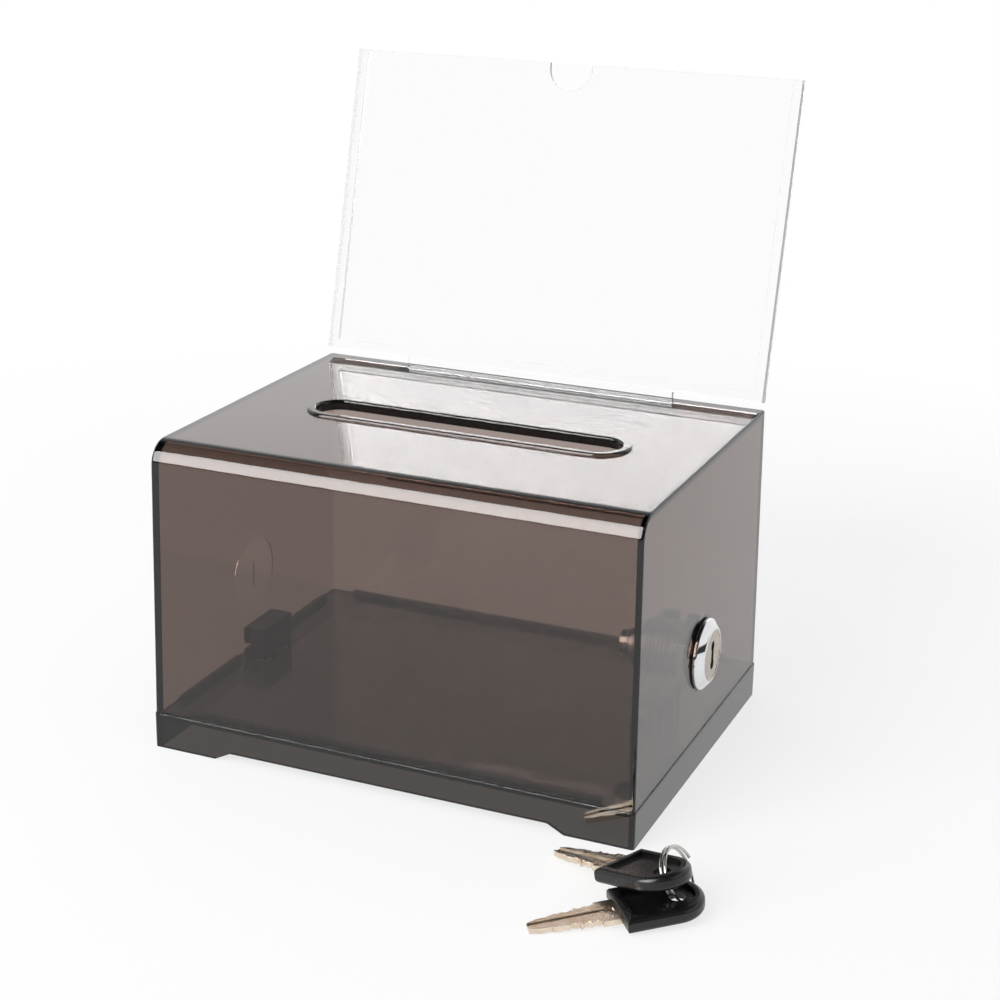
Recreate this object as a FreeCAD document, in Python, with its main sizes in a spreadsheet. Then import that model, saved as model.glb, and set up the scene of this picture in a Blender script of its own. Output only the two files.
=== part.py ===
"""Table-top donation box: smoked cover on a base tray, coin slot, sign holder, cam lock and its keys.

Frame: millimetres, origin on the table under the middle of the base, +X to the lock side, -Y to the
front, +Z up. Every size is a cell of the sheet, and every feature is tied to those cells by a formula.
"""
import FreeCAD
import Part
import Sketcher
import math
import os
import re

SIZES = {
    # Cover shell
    "cover_length": 160.0,
    "cover_depth": 118.8,
    "total_height": 102.0,
    "seam_height": 11.8,
    "wall_thick": 2.2,
    "top_thick": 2.4,
    "cover_flare": 1.2,
    "front_round": 7.5,
    "edge_round": 0.8,
    # Coin slot in the top
    "slot_length": 104.5,
    "slot_width": 14.8,
    "slot_offset": 2.0,
    "rim_width": 3.0,
    "rim_height": 0.9,
    "rim_round": 0.8,
    # Base tray
    "base_step": 0.3,
    "plate_thick": 2.2,
    "skirt_thick": 2.2,
    "base_round": 1.0,
    "base_rim_round": 0.28,
    "foot_length": 22.0,
    "foot_ramp": 5.5,
    "foot_height": 2.8,
    "rib_height": 2.0,
    "rib_thick": 1.6,
    "rib_clearance": 0.4,
    "rib_corner_gap": 9.0,
    "rib_block_gap": 3.0,
    # Hook block at the left, catch block at the right
    "block_length": 19.0,
    "block_width": 8.0,
    "block_height": 11.0,
    "hook_gap": 1.4,
    "hook_slot_depth": 3.0,
    "lug_reach": 2.7,
    "lug_thick": 3.0,
    "lug_length": 14.0,
    "lug_lift": 4.2,
    "lug_play": 1.0,
    "catch_gap": 1.2,
    "catch_slot_depth": 3.5,
    "screw_dia": 2.8,
    "screw_head_dia": 5.5,
    "screw_head_height": 2.0,
    "screw_bite": 6.5,
    "screw_spacing": 12.0,
    "screw_clearance": 0.03,
    # Lock
    "lock_height": 38.8,
    "bezel_dia": 23.0,
    "bezel_face_dia": 17.6,
    "bezel_rim": 1.2,
    "bezel_rise": 3.2,
    "seat_sink": 0.1,
    "seat_margin": 0.4,
    "gasket_thick": 0.5,
    "gasket_inset": 0.2,
    "barrel_dia": 18.6,
    "barrel_flats": 16.2,
    "barrel_length": 19.0,
    "barrel_clearance": 0.2,
    "washer_thick": 0.8,
    "washer_dia": 24.5,
    "nut_thick": 4.0,
    "nut_flats": 22.0,
    "nut_clearance": 0.05,
    "plug_dia": 12.6,
    "plug_head_dia": 16.2,
    "plug_head_thick": 1.4,
    "plug_clearance": 0.05,
    "keyway_width": 2.2,
    "keyway_height": 9.2,
    "keyway_end": 3.0,
    "keyway_lobe_dia": 3.2,
    "keyway_lobe_deep": 2.5,
    "wafer_first": 4.0,
    "wafer_pitch": 2.6,
    "wafer_thick": 0.9,
    "wafer_width": 6.6,
    "wafer_height": 10.6,
    "wafer_window_width": 2.6,
    "wafer_window_height": 7.4,
    "wafer_clearance": 0.05,
    "ear_reach": 1.7,
    "ear_height": 1.2,
    "spring_dia": 1.2,
    "spring_length": 3.8,
    "square_size": 6.5,
    "square_clearance": 0.05,
    "stop_thick": 1.5,
    "stop_tab_width": 5.0,
    "stop_turn": 90.0,
    "stop_slack": 4.0,
    "collar_wall": 1.4,
    "axial_play": 0.1,
    "cam_thick": 2.0,
    "cam_width": 11.0,
    "cam_tip_width": 8.0,
    "cam_length": 22.5,
    "toe_thick": 2.0,
    "toe_clearance": 0.5,
    "cam_washer_dia": 8.4,
    "cam_washer_thick": 1.0,
    "cam_screw_dia": 4.0,
    "cam_screw_head_dia": 8.0,
    "cam_screw_head_height": 2.6,
    "cam_screw_bite": 5.0,
    "driver_slot_width": 1.0,
    "driver_slot_depth": 1.2,
    # Sign holder
    "sign_width": 159.0,
    "sign_height": 104.3,
    "sign_tilt": 14.15,
    "sign_rise": 2.6,
    "sign_setback": 1.7,
    "front_pane_thick": 1.2,
    "pocket_gap": 1.6,
    "back_pane_thick": 1.5,
    "strip_width": 3.2,
    "notch_dia": 15.0,
    "notch_depth": 9.0,
    "tongue_width": 97.0,
    "tongue_depth": 9.0,
    "tongue_clearance": 0.15,
    "socket_wall": 1.6,
    "socket_front": 6.4,
    # Keys
    "head_length": 25.0,
    "head_width": 19.0,
    "head_thick": 4.6,
    "head_round": 1.6,
    "head_rim": 2.6,
    "head_recess": 1.2,
    "ring_hole_dia": 5.0,
    "ring_hole_place": 17.5,
    "blade_length": 25.6,
    "blade_width": 8.4,
    "blade_mid_width": 6.8,
    "blade_mid_start": 11.7,
    "blade_end_width": 5.0,
    "blade_end_start": 19.2,
    "blade_thick": 1.8,
    "blade_tip_width": 2.8,
    "blade_tip_length": 3.0,
    "blade_groove_width": 2.0,
    "blade_groove_depth": 0.4,
    "collar_width": 10.4,
    "collar_length": 5.5,
    "tang_length": 8.0,
    "bit_dia": 2.4,
    "bit_first": 2.0,
    "bit_pitch": 2.4,
    "lower_key_x": 90.4,
    "lower_key_y": -99.2,
    "lower_key_turn": 38.6,
    "lower_key_tilt": 4.0,
    "upper_key_x": 84.5,
    "upper_key_y": -82.5,
    "upper_key_turn": -25.0,
    "upper_key_tilt": 14.0,
    "ring_radius": 8.1,
    "ring_wire": 0.9,
    "ring_pitch": 1.4,
    "ring_slide": 0.8,
    "ring_tuck": 0.4,
    "ring_shift": 0.5,
}

WAFER_COUNT = 5
# Steps of a key blade: where each one starts and ends from the head, its width, and how deep its bits are.
BLADE_STEPS = (
    ("root", "collar_length", "blade_mid_start", "blade_width", (0.35, 0.6)),
    ("middle", "blade_mid_start", "blade_end_start", "blade_mid_width", (0.45, 0.25, 0.4)),
    ("end", "blade_end_start", "(blade_length - blade_tip_length)", "blade_end_width", ()),
)
RING_HALF_TURNS = 3
OVERCUT = 1.0

X_AXIS = FreeCAD.Vector(1, 0, 0)
Y_AXIS = FreeCAD.Vector(0, 1, 0)
Z_AXIS = FreeCAD.Vector(0, 0, 1)

doc = FreeCAD.newDocument("donation_box")
sheet = doc.addObject("Spreadsheet::Sheet", "Sizes")


def fill_sheet():
    """Write every size into its own cell, under its own name."""
    for row, (alias, value) in enumerate(SIZES.items(), start=1):
        sheet.set(f"A{row}", alias)
        sheet.set(f"B{row}", str(value))
        sheet.setAlias(f"B{row}", alias)
    doc.recompute()


def size(alias):
    """Read one size back from the sheet."""
    return float(sheet.get(alias))


def tied(formula):
    """Point each size named in a formula at its cell."""
    def cell(word):
        """Give the cell of a size, and leave any other word as it is."""
        return f"Sizes.{word[0]}" if word[0] in SIZES else word[0]

    return re.sub(r"[a-z][a-z_]*", cell, str(formula))


def bind(item, **formulas):
    """Tie properties of a feature to formulas of sizes."""
    for name, formula in formulas.items():
        item.setExpression(name, tied(formula))


def seat(item, place, axis=None, angle=0):
    """Put a feature at a place given by three formulas, turned about an axis."""
    if axis is not None:
        item.Placement = FreeCAD.Placement(FreeCAD.Vector(), FreeCAD.Rotation(axis, 90))
        item.setExpression(".Placement.Rotation.Angle", tied(angle))
    for letter, formula in zip("xyz", place):
        item.setExpression(f".Placement.Base.{letter}", tied(formula))


def new_body(label, place=(), axis=None, angle=0):
    """Start a sub-part in its own local frame."""
    body = doc.addObject("PartDesign::Body", label)
    body.Label = label
    seat(body, place, axis, angle)
    return body


def block(body, name, lengths, corner, cut=False, axis=None, angle=0):
    """Add or cut a box from its lowest corner."""
    kind = "PartDesign::SubtractiveBox" if cut else "PartDesign::AdditiveBox"
    item = body.newObject(kind, name)
    bind(item, Length=lengths[0], Width=lengths[1], Height=lengths[2])
    seat(item, corner, axis, angle)
    return item


def rod(body, name, radius, height, foot, cut=False, axis=None, angle=0):
    """Add or cut a cylinder that stands on its foot, along its local Z."""
    kind = "PartDesign::SubtractiveCylinder" if cut else "PartDesign::AdditiveCylinder"
    item = body.newObject(kind, name)
    bind(item, Radius=radius, Height=height)
    seat(item, foot, axis, angle)
    return item


def new_sketch(body, name, height, offset="0"):
    """Start a level sketch at a height in its own body, shifted along Y."""
    sketch = body.newObject("Sketcher::SketchObject", name)
    plane = next(item for item in body.Origin.OriginFeatures if item.Role == "XY_Plane")
    sketch.AttachmentSupport = [(plane, "")]
    sketch.MapMode = "FlatFace"
    sketch.setExpression(".AttachmentOffset.Base.y", tied(offset))
    sketch.setExpression(".AttachmentOffset.Base.z", tied(height))
    return sketch


def name_size(sketch, index, name, formula):
    """Name a sketch dimension and tie it to a formula."""
    sketch.renameConstraint(index, name)
    sketch.setExpression(f"Constraints.{name}", tied(formula))


def frustum(body, name, foot, head, heights, cut=False):
    """Add or cut a level-ended block with flat sloping sides: half sizes along X and Y at foot and head."""
    kind = "PartDesign::SubtractiveWedge" if cut else "PartDesign::AdditiveWedge"
    item = body.newObject(kind, name)
    bind(item, Xmin=f"-({foot[0]})", Xmax=foot[0], Zmin=f"-({foot[1]})", Zmax=foot[1])
    bind(item, X2min=f"-({head[0]})", X2max=head[0], Z2min=f"-({head[1]})", Z2max=head[1])
    bind(item, Ymin=heights[0], Ymax=heights[1])
    seat(item, ("0", "0", "0"), X_AXIS, 90)
    return item


def stadium(body, name, length, width, height, offset):
    """Draw a slot outline with round ends."""
    sketch = new_sketch(body, name, height, offset)
    reach = 40.0
    radius = 8.0
    right = Part.Circle(FreeCAD.Vector(reach, 0, 0), Z_AXIS, radius)
    left = Part.Circle(FreeCAD.Vector(-reach, 0, 0), Z_AXIS, radius)
    back = (FreeCAD.Vector(reach, radius, 0), FreeCAD.Vector(-reach, radius, 0))
    front = (FreeCAD.Vector(-reach, -radius, 0), FreeCAD.Vector(reach, -radius, 0))
    sketch.addGeometry(Part.ArcOfCircle(right, -math.pi / 2, math.pi / 2), False)
    sketch.addGeometry(Part.LineSegment(*back), False)
    sketch.addGeometry(Part.ArcOfCircle(left, math.pi / 2, 3 * math.pi / 2), False)
    sketch.addGeometry(Part.LineSegment(*front), False)
    for index in range(4):
        sketch.addConstraint(Sketcher.Constraint("Tangent", index, 2, (index + 1) % 4, 1))
    sketch.addConstraint(Sketcher.Constraint("Equal", 0, 2))
    sketch.addConstraint(Sketcher.Constraint("Horizontal", 1))
    sketch.addConstraint(Sketcher.Constraint("Symmetric", 0, 3, 2, 3, -1, 1))
    half = sketch.addConstraint(Sketcher.Constraint("Radius", 0, radius))
    span = sketch.addConstraint(Sketcher.Constraint("DistanceX", 2, 3, 0, 3, 2 * reach))
    name_size(sketch, half, "half", f"({width}) / 2")
    name_size(sketch, span, "span", f"({length}) - ({width})")
    return sketch


def pad(body, name, sketch, length):
    """Raise a level outline."""
    item = body.newObject("PartDesign::Pad", name)
    item.Profile = sketch
    bind(item, Length=length)
    return item


def pocket(body, name, sketch, depth):
    """Cut a level outline downwards."""
    item = body.newObject("PartDesign::Pocket", name)
    item.Profile = sketch
    bind(item, Length=depth)
    return item


def round_edges(body, name, radius, wanted):
    """Round the edges of the body so far whose end points pass a test."""
    doc.recompute()
    last = body.Tip
    names = []
    for index, edge in enumerate(last.Shape.Edges, start=1):
        ends = [vertex.Point for vertex in edge.Vertexes]
        if len(ends) == 2 and wanted(ends):
            names.append(f"Edge{index}")
    item = body.newObject("PartDesign::Fillet", name)
    item.Base = (last, names)
    bind(item, Radius=radius)
    return item


def near(value, target):
    """Say whether two coordinates are the same."""
    return abs(value - target) < 1e-4


def wall_x(height):
    """Outer face of a side wall at a height: the walls lean in towards the top."""
    return f"(cover_length / 2 + cover_flare * (total_height - ({height})) / (total_height - seam_height))"


INNER_SEAM_X = "(cover_length / 2 + cover_flare - wall_thick)"
INNER_SEAM_Y = "(cover_depth / 2 + cover_flare - wall_thick)"
BASE_LENGTH = "(cover_length + 2 * (cover_flare + base_step))"
BASE_DEPTH = "(cover_depth + 2 * (cover_flare + base_step))"
NUT_CORNERS = "(nut_flats / cos(30) + 2 * seat_margin)"
SEAT_X = f"({wall_x('lock_height + bezel_dia / 2')} - seat_sink)"
INNER_SEAT_X = f"({wall_x(f'lock_height - {NUT_CORNERS} / 2')} - wall_thick + seat_sink / 2)"
BARREL_END = "(gasket_thick - barrel_length)"
CAM_FRONT = f"({BARREL_END} - axial_play - stop_thick)"
CATCH_X = f"({SEAT_X} + {CAM_FRONT} + catch_gap)"
HOOK_X = f"(hook_gap - {INNER_SEAM_X})"
LIP_Z = "(seam_height + lug_lift + lug_thick + lug_play)"
SIGN_Y = "(cover_depth / 2 - sign_setback)"


def build_cover():
    """Cover moulding: flared walls, round front edge, slot rim, hook lug, lock seat and sign socket."""
    body = new_body("cover_shell")
    frustum(body, "cover_outside", ("cover_length / 2 + cover_flare", "cover_depth / 2 + cover_flare"),
            ("cover_length / 2", "cover_depth / 2"), ("seam_height", "total_height"))
    top = size("total_height")
    front = -size("cover_depth") / 2
    side = size("cover_length") / 2
    seam = size("seam_height")
    round_edges(body, "front_edge", "front_round",
                lambda ends: all(near(end.z, top) and near(end.y, front) for end in ends))

    def corner_edge(ends):
        """Edges round the two side faces and along the rear of the top."""
        if all(near(end.z, seam) for end in ends):
            return False
        if all(near(end.z, top) and near(end.y, -front) for end in ends):
            return True
        return all(end.x > side - 1e-4 for end in ends) or all(end.x < 1e-4 - side for end in ends)

    round_edges(body, "corner_edges", "edge_round", corner_edge)
    frustum(body, "cover_inside", (INNER_SEAM_X, INNER_SEAM_Y),
            ("cover_length / 2 - wall_thick", "cover_depth / 2 - wall_thick"),
            ("seam_height", "total_height - top_thick"), cut=True)
    ceiling = top - size("top_thick")
    inner_front = front + size("wall_thick")
    round_edges(body, "inside_front_edge", "front_round - wall_thick",
                lambda ends: all(near(end.z, ceiling) and near(end.y, inner_front) for end in ends))
    cut_slot(body)
    cut_lock_seat(body)
    add_hook_lug(body)
    add_sign_socket(body)
    return body


def cut_slot(body):
    """Coin slot with a raised round rim."""
    rim = stadium(body, "rim_outline", "slot_length + 2 * rim_width", "slot_width + 2 * rim_width",
                  "total_height - top_thick / 2", "-slot_offset")
    pad(body, "rim", rim, "top_thick / 2 + rim_height")
    opening = stadium(body, "opening_outline", "slot_length", "slot_width", "total_height + rim_height",
                      "-slot_offset")
    pocket(body, "opening", opening, f"rim_height + top_thick + {OVERCUT}")
    crest = size("total_height") + size("rim_height")
    round_edges(body, "rim_edges", "rim_round", lambda ends: all(near(end.z, crest) for end in ends))


def cut_lock_seat(body):
    """Flat seats for the lock in the right wall, its hole with two flats, and the blind seat at the left."""
    rod(body, "bezel_seat", "bezel_dia / 2 + seat_margin", f"cover_flare + {OVERCUT}",
        (SEAT_X, "0", "lock_height"), cut=True, axis=Y_AXIS, angle=90)
    rod(body, "nut_seat", f"{NUT_CORNERS} / 2", f"cover_flare + {OVERCUT}",
        (f"{INNER_SEAT_X} - cover_flare - {OVERCUT}", "0", "lock_height"), cut=True, axis=Y_AXIS, angle=90)
    rod(body, "barrel_hole", "barrel_dia / 2 + barrel_clearance", f"wall_thick + 2 * {OVERCUT}",
        (f"{INNER_SEAT_X} - {OVERCUT}", "0", "lock_height"), cut=True, axis=Y_AXIS, angle=90)
    flat = "(barrel_flats / 2 + barrel_clearance)"
    land = f"(barrel_dia / 2 + barrel_clearance + {OVERCUT} - {flat})"
    flats = (("upper_flat", f"lock_height + {flat}"), ("lower_flat", f"lock_height - {flat} - {land}"))
    for name, low in flats:
        block(body, name, (f"{SEAT_X} - {INNER_SEAT_X}", "barrel_flats", land),
              (INNER_SEAT_X, "-barrel_flats / 2", low))
    rod(body, "blind_seat", f"{NUT_CORNERS} / 2", f"cover_flare + {OVERCUT}",
        (f"-{INNER_SEAT_X}", "0", "lock_height"), cut=True, axis=Y_AXIS, angle=90)
    block(body, "blind_mark", ("seat_sink * 6", "keyway_width / 2", "keyway_height"),
          (f"-{INNER_SEAT_X} - seat_sink * 3", "-keyway_width / 4", "lock_height - keyway_height / 2"),
          cut=True)


def add_hook_lug(body):
    """Lug inside the left wall that hooks under the lip of the hook block."""
    inner = f"(wall_thick - {wall_x('seam_height + lug_lift + lug_thick')})"
    block(body, "hook_lug", ("lug_reach + wall_thick / 2", "lug_length", "lug_thick"),
          (f"{inner} - wall_thick / 2", "-lug_length / 2", "seam_height + lug_lift"))


def add_sign_socket(body):
    """Ribbed socket under the rear of the top, with a leaning slot for the tongue of the sign holder."""
    width = "(tongue_width + 2 * (tongue_clearance + socket_wall))"
    deep = "(tongue_depth + tongue_clearance + socket_wall)"
    block(body, "socket", (width, "socket_front + wall_thick / 2", f"{deep} - top_thick / 2"),
          (f"-{width} / 2", "cover_depth / 2 - wall_thick - socket_front", f"total_height - {deep}"))
    half = "(pocket_gap / 2 + tongue_clearance)"
    down = "(tongue_depth + tongue_clearance)"
    block(body, "socket_slot",
          ("tongue_width + 2 * tongue_clearance", f"2 * {half}", f"{down} + sign_rise"),
          ("-tongue_width / 2 - tongue_clearance",
           f"{SIGN_Y} - {half} * cos(sign_tilt) - {down} * sin(sign_tilt)",
           f"total_height + {half} * sin(sign_tilt) - {down} * cos(sign_tilt)"),
          cut=True, axis=-X_AXIS, angle="sign_tilt")


def build_base():
    """Base tray: plate, skirt with corner feet, locating ribs and screw holes."""
    body = new_body("base_tray")
    block(body, "tray", (BASE_LENGTH, BASE_DEPTH, "seam_height"),
          (f"-{BASE_LENGTH} / 2", f"-{BASE_DEPTH} / 2", "0"))
    round_edges(body, "tray_corners", "base_round",
                lambda ends: near(ends[0].x, ends[1].x) and near(ends[0].y, ends[1].y))
    seam = size("seam_height")
    round_edges(body, "tray_rim", "base_rim_round", lambda ends: all(near(end.z, seam) for end in ends))
    block(body, "hollow",
          (f"{BASE_LENGTH} - 2 * skirt_thick", f"{BASE_DEPTH} - 2 * skirt_thick",
           f"seam_height - plate_thick + {OVERCUT}"),
          (f"skirt_thick - {BASE_LENGTH} / 2", f"skirt_thick - {BASE_DEPTH} / 2", f"-{OVERCUT}"), cut=True)
    cut_arches(body)
    add_ribs(body)
    for side, x in block_screw_columns():
        for end, y in (("front", "-screw_spacing / 2"), ("rear", "screw_spacing / 2")):
            rod(body, f"screw_hole_{side}_{end}", "screw_dia / 2 + screw_clearance",
                f"plate_thick + 2 * {OVERCUT}", (x, y, f"seam_height - plate_thick - {OVERCUT}"), cut=True)
    return body


def cut_arches(body):
    """Low arches with sloping ends, through the front and the rear of the skirt."""
    half = f"({BASE_LENGTH} / 2 - foot_length)"
    frustum(body, "arches", (half, BASE_DEPTH), (f"{half} - foot_ramp", BASE_DEPTH),
            ("0", "foot_height"), cut=True)


def add_ribs(body):
    """Ribs on the plate, just inside the walls of the cover, broken at the corners and at the blocks."""
    rib_x = f"({INNER_SEAM_X} - rib_clearance)"
    rib_y = f"({INNER_SEAM_Y} - rib_clearance)"
    along = f"(2 * ({INNER_SEAM_X} - rib_corner_gap))"
    across = f"({INNER_SEAM_Y} - rib_corner_gap - block_length / 2 - rib_block_gap)"
    for name, y in (("front_rib", f"-{rib_y}"), ("rear_rib", f"{rib_y} - rib_thick")):
        block(body, name, (along, "rib_thick", "rib_height + plate_thick / 2"),
              (f"-{along} / 2", y, "seam_height - plate_thick / 2"))
    ends = (("front", f"rib_corner_gap - {INNER_SEAM_Y}"), ("rear", "block_length / 2 + rib_block_gap"))
    for side, x in (("left", f"-{rib_x}"), ("right", f"{rib_x} - rib_thick")):
        for end, y in ends:
            block(body, f"{side}_{end}_rib", ("rib_thick", across, "rib_height + plate_thick / 2"),
                  (x, y, "seam_height - plate_thick / 2"))


def block_screw_columns():
    """X of the screws: the middle of the solid part of each block."""
    left = f"({HOOK_X} + (block_width + hook_slot_depth) / 2)"
    right = f"({CATCH_X} + (block_width + catch_slot_depth) / 2)"
    return (("left", left), ("right", right))


def cut_screw_pilots(body, x):
    """Two blind holes for the screws that come up through the plate."""
    for end, y in (("front", "-screw_spacing / 2"), ("rear", "screw_spacing / 2")):
        rod(body, f"{body.Label}_{end}_pilot", "screw_dia / 2 + screw_clearance",
            f"screw_bite + screw_clearance + {OVERCUT}", (x, y, f"seam_height - {OVERCUT}"), cut=True)


def build_hook_block():
    """Block at the left whose lip holds down the lug of the cover."""
    body = new_body("hook_block")
    block(body, "hook_body", ("block_width", "block_length", "block_height"),
          (HOOK_X, "-block_length / 2", "seam_height"))
    block(body, "hook_slot",
          (f"hook_slot_depth + {OVERCUT}", f"block_length + 2 * {OVERCUT}", "lug_thick + 2 * lug_play"),
          (f"{HOOK_X} - {OVERCUT}", f"-block_length / 2 - {OVERCUT}", f"{LIP_Z} - lug_thick - 2 * lug_play"),
          cut=True)
    cut_screw_pilots(body, block_screw_columns()[0][1])
    return body


def build_catch_block():
    """Block at the right with a curved slot, round the lock's axis, for the toe of the cam."""
    body = new_body("catch_body")
    block(body, "catch_solid", ("block_width", "block_length", "block_height"),
          (CATCH_X, "-block_length / 2", "seam_height"))
    cut_screw_pilots(body, block_screw_columns()[1][1])
    doc.recompute()
    outer = doc.addObject("Part::Cylinder", "catch_slot_outside")
    inner = doc.addObject("Part::Cylinder", "catch_slot_inside")
    swept = "(sqrt(cam_length * cam_length + cam_tip_width * cam_tip_width / 4) + toe_clearance)"
    for item, radius in ((outer, swept), (inner, "cam_length - toe_thick - toe_clearance")):
        bind(item, Radius=radius, Height=f"catch_slot_depth + {OVERCUT}")
        seat(item, (f"{CATCH_X} - {OVERCUT}", "0", "lock_height"), Y_AXIS, 90)
    ring = subtract("catch_slot_ring", outer, inner)
    return subtract("catch_block", body, ring)


def subtract(label, base, tool):
    """Cut one solid from another."""
    item = doc.addObject("Part::Cut", f"{label}_cut")
    item.Base = base
    item.Tool = tool
    item.Label = label
    return item


def group(label, pieces):
    """Gather separate like solids in one sub-part."""
    item = doc.addObject("Part::Compound", f"{label}_group")
    item.Links = pieces
    item.Label = label
    return item


def build_block_screws():
    """Four pan-head screws that hold the two blocks on the plate from below."""
    pieces = []
    for side, x in block_screw_columns():
        for end, y in (("front", "-screw_spacing / 2"), ("rear", "screw_spacing / 2")):
            body = new_body(f"screw_{side}_{end}", (x, y, "seam_height - plate_thick"))
            rod(body, f"shank_{side}_{end}", "screw_dia / 2", "plate_thick + screw_bite", ("0", "0", "0"))
            rod(body, f"pan_{side}_{end}", "screw_head_dia / 2", "screw_head_height",
                ("0", "0", "-screw_head_height"))
            block(body, f"drive_{side}_{end}", ("screw_head_dia", "driver_slot_width", "driver_slot_depth"),
                  ("-screw_head_dia / 2", "-driver_slot_width / 2", "-screw_head_height"), cut=True)
            pieces.append(body)
    return group("block_screws", pieces)


def lock_body(label):
    """Start a lock piece: local Z runs outwards along the lock, local X down, zero at the wall's seat."""
    return new_body(label, (SEAT_X, "0", "lock_height"), Y_AXIS, 90)


def build_lock_housing():
    """Barrel with two flats, a coned bezel, the bore for the plug and a stop collar at its inner end."""
    body = lock_body("lock_housing")
    rod(body, "barrel", "barrel_dia / 2", "barrel_length", ("0", "0", BARREL_END))
    flats = (("barrel_flat_low", "barrel_flats / 2"), ("barrel_flat_high", "-barrel_flats / 2 - barrel_dia"))
    for name, x in flats:
        block(body, name, ("barrel_dia", "2 * barrel_dia", f"barrel_length + {OVERCUT}"),
              (x, "-barrel_dia", f"{BARREL_END} - {OVERCUT}"), cut=True)
    rod(body, "bezel_rim_disc", "bezel_dia / 2", "bezel_rim", ("0", "0", "gasket_thick"))
    cone = body.newObject("PartDesign::AdditiveCone", "bezel_cone")
    bind(cone, Radius1="bezel_dia / 2", Radius2="bezel_face_dia / 2", Height="bezel_rise - bezel_rim")
    seat(cone, ("0", "0", "gasket_thick + bezel_rim"))
    sweep = "(2 * asin(stop_tab_width / (barrel_flats - 2 * collar_wall)) + (stop_turn + stop_slack) * 1 deg)"
    collar = body.newObject("PartDesign::AdditiveCylinder", "stop_collar")
    bind(collar, Radius="barrel_flats / 2", Height="stop_thick", Angle=f"360 deg - {sweep}")
    seat(collar, ("0", "0", f"{BARREL_END} - stop_thick"), Z_AXIS,
         f"(90 - stop_turn / 2) * 1 deg + {sweep} / 2")
    rod(body, "collar_bore", "barrel_flats / 2 - collar_wall", f"stop_thick + {OVERCUT}",
        ("0", "0", f"{BARREL_END} - stop_thick - {OVERCUT}"), cut=True)
    rod(body, "plug_bore", "plug_dia / 2 + plug_clearance", f"barrel_length + bezel_rise + {OVERCUT}",
        ("0", "0", BARREL_END), cut=True)
    rod(body, "plug_head_recess", "plug_head_dia / 2 + plug_clearance",
        f"plug_head_thick + axial_play + {OVERCUT}",
        ("0", "0", "gasket_thick + bezel_rise - plug_head_thick - axial_play"), cut=True)
    return body


def build_ring_piece(label, outer, inner, thick, low, corners=0):
    """Flat ring round the lock: a gasket, a washer or, with corners, a nut."""
    body = lock_body(label)
    if corners:
        prism = body.newObject("PartDesign::AdditivePrism", f"{label}_prism")
        prism.Polygon = corners
        bind(prism, Circumradius=outer, Height=thick)
        seat(prism, ("0", "0", low))
    else:
        rod(body, f"{label}_disc", outer, thick, ("0", "0", low))
    rod(body, f"{label}_bore", inner, f"({thick}) + 2 * {OVERCUT}",
        ("0", "0", f"({low}) - {OVERCUT}"), cut=True)
    return body


def build_lock_rings():
    """Gasket under the bezel, washer and nut on the inside of the wall."""
    hole = "barrel_dia / 2 + nut_clearance"
    inside = f"({INNER_SEAT_X} - {SEAT_X} - washer_thick)"
    gasket = build_ring_piece("lock_gasket", "bezel_dia / 2 - gasket_inset", hole, "gasket_thick", "0")
    washer = build_ring_piece("lock_washer", "washer_dia / 2", hole, "washer_thick", inside)
    nut = build_ring_piece("lock_nut", "nut_flats / 2 / cos(30)", hole, "nut_thick",
                           f"({inside} - nut_thick)", corners=6)
    return [gasket, washer, nut]


def wafer_height_at(index):
    """Local Z of the inner face of one wafer."""
    return f"(gasket_thick + bezel_rise - axial_play - wafer_first - wafer_thick - {index} * wafer_pitch)"


def build_plug():
    """Plug that the key turns: head, keyway, wafer slots, and a square with a screw hole at its inner end."""
    body = lock_body("lock_plug")
    front = "(gasket_thick + bezel_rise - axial_play)"
    shoulder = f"({BARREL_END} - axial_play)"
    rod(body, "plug_stem", "plug_dia / 2", f"{front} - {shoulder}", ("0", "0", shoulder))
    rod(body, "plug_head", "plug_head_dia / 2", "plug_head_thick - axial_play",
        ("0", "0", f"{front} - plug_head_thick + axial_play"))
    square = "(stop_thick + cam_thick - axial_play)"
    block(body, "plug_square", ("square_size", "square_size", square),
          ("-square_size / 2", "-square_size / 2", f"{shoulder} - {square}"))
    rod(body, "plug_screw_hole", "cam_screw_dia / 2 + screw_clearance",
        f"cam_screw_bite + {square} + {OVERCUT}", ("0", "0", f"{shoulder} - {square} - {OVERCUT}"), cut=True)
    deep = f"({front} - {shoulder} - cam_screw_bite - keyway_end)"
    block(body, "keyway", ("keyway_height", "keyway_width", f"{deep} + {OVERCUT}"),
          ("-keyway_height / 2", "-keyway_width / 2", f"{front} - {deep}"), cut=True)
    for side, sign in (("low", ""), ("high", "-")):
        rod(body, f"keyway_lobe_{side}", "keyway_lobe_dia / 2", f"keyway_lobe_deep + {OVERCUT}",
            (f"{sign}(keyway_height - keyway_lobe_dia) / 2", "0", f"{front} - keyway_lobe_deep"), cut=True)
    for index in range(WAFER_COUNT):
        low = f"{wafer_height_at(index)} - wafer_clearance"
        block(body, f"wafer_slot_{index}",
              ("wafer_height + 2 * wafer_clearance", "wafer_width + 2 * wafer_clearance",
               "wafer_thick + 2 * wafer_clearance"),
              ("-wafer_height / 2 - wafer_clearance", "-wafer_width / 2 - wafer_clearance", low), cut=True)
        block(body, f"spring_slot_{index}",
              ("spring_length + ear_height + 2 * wafer_clearance", "ear_reach + 2 * wafer_clearance",
               "spring_dia + 2 * wafer_clearance"),
              ("-ear_height - wafer_clearance", "wafer_width / 2 - wafer_clearance",
               f"{low} + wafer_thick / 2 - spring_dia / 2"), cut=True)
    return body


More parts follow.
